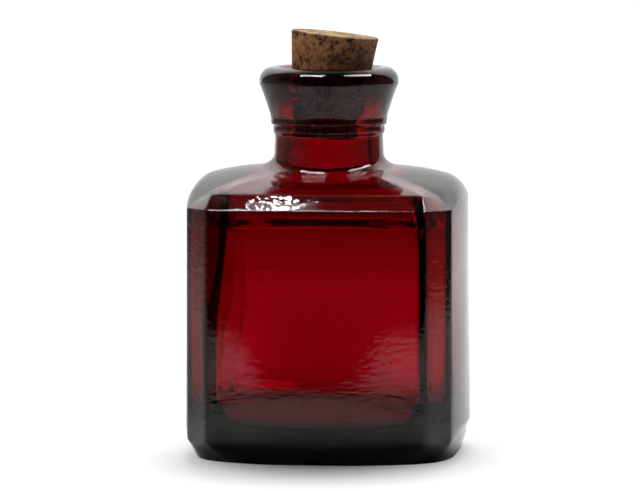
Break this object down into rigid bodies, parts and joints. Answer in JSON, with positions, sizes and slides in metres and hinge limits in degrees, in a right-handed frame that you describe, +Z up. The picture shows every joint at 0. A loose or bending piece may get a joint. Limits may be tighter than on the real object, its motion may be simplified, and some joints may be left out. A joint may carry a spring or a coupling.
{
  "type": "decorative glass bottle",
  "caption": "Square red glass bottle with chamfered corners, bowed side walls, a ringed round neck, a rolled lip and a tapered cork stopper.",
  "frame": {"origin": "centre of the underside, where the bottle stands", "axes": "+Z up along the neck; -Y is the front panel and +Y the back panel; +X and -X are the bowed sides, the cork leans towards +X"},
  "size_m": [0.0844, 0.079, 0.127],
  "materials": {
    "red_glass": "clear deep red, glossy, slightly wavy surface",
    "natural_cork": "natural cork, matt, with dark pores"
  },
  "bodies": {
    "root": {"glass_bottle": "red_glass", "cork": "natural_cork"}
  },
  "joints": []
}
